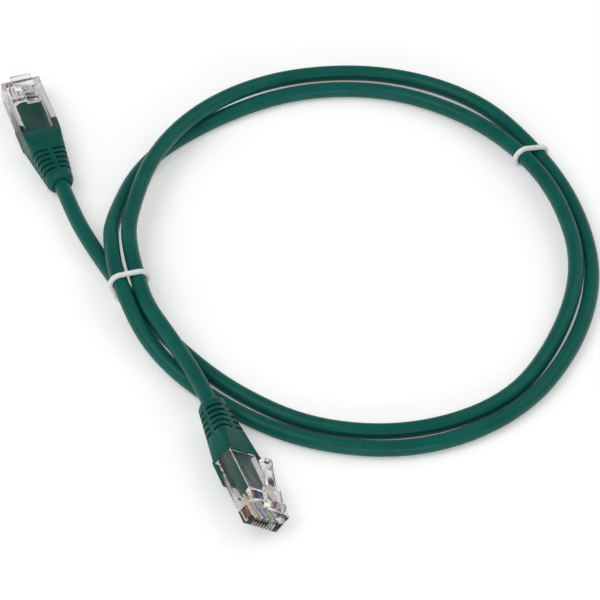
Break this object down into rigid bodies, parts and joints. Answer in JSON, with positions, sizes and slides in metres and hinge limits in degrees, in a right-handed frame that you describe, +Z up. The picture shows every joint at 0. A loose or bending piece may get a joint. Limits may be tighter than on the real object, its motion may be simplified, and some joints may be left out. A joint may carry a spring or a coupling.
{
  "type": "ethernet patch cable",
  "caption": "Round network patch cable lying in tied turns, with a clear modular plug, a sprung latch and a ribbed strain-relief boot on each end.",
  "frame": {"origin": "bottom centre of the box round the two plugs and their boots, on the surface that the cable lies on", "axes": "+Z up; +X to the viewer's right and +Y away from the viewer, as the picture's camera stands; the plugs point to -X +Y and +X -Y, and the loop lies to +X"},
  "size_m": [0.1754, 0.1864, 0.0149],
  "materials": {
    "jacket_green": "glossy",
    "boot_green": "satin",
    "housing_clear": "clear",
    "latch_clear": "clear",
    "contact_gold": "satin",
    "tie_white": "satin",
    "wire_white_orange": "satin",
    "wire_orange": "satin",
    "wire_white_green": "satin",
    "wire_blue": "satin",
    "wire_white_blue": "satin",
    "wire_green": "satin",
    "wire_white_brown": "satin",
    "wire_brown": "satin"
  },
  "bodies": {
    "cable": {"plug_a_housing": "housing_clear", "plug_a_contacts": "contact_gold", "plug_a_boot": "boot_green", "plug_a_wire_1": "wire_white_orange", "plug_a_wire_2": "wire_orange", "plug_a_wire_3": "wire_white_green", "plug_a_wire_4": "wire_blue", "plug_a_wire_5": "wire_white_blue", "plug_a_wire_6": "wire_green", "plug_a_wire_7": "wire_white_brown", "plug_a_wire_8": "wire_brown", "plug_a_jacket_end": "jacket_green", "plug_b_housing": "housing_clear", "plug_b_contacts": "contact_gold", "plug_b_boot": "boot_green", "plug_b_wire_1": "wire_white_orange", "plug_b_wire_2": "wire_orange", "plug_b_wire_3": "wire_white_green", "plug_b_wire_4": "wire_blue", "plug_b_wire_5": "wire_white_blue", "plug_b_wire_6": "wire_green", "plug_b_wire_7": "wire_white_brown", "plug_b_wire_8": "wire_brown", "plug_b_jacket_end": "jacket_green", "cable_lead_a": "jacket_green", "cable_coil": "jacket_green", "cable_lead_b": "jacket_green", "tie_1": "tie_white", "tie_2": "tie_white"},
    "latch_a": {"plug_a_latch": "latch_clear"},
    "latch_b": {"plug_b_latch": "latch_clear"}
  },
  "joints": [
    {"name": "latch_a_hinge", "type": "hinge", "parent": "cable", "child": "latch_a", "pos_m": [-0.03719, 0.08572, 0.0085], "axis": [0.9476, 0.3188, -0.0209], "range_deg": [0, 12], "stiffness_Nm_per_rad": 0.02, "springref_deg": -2.86},
    {"name": "latch_b_hinge", "type": "hinge", "parent": "cable", "child": "latch_b", "pos_m": [0.03945, -0.0844, 0.00994], "axis": [-0.7034, -0.2832, 0.6519], "range_deg": [0, 12], "stiffness_Nm_per_rad": 0.02, "springref_deg": -2.86}
  ]
}
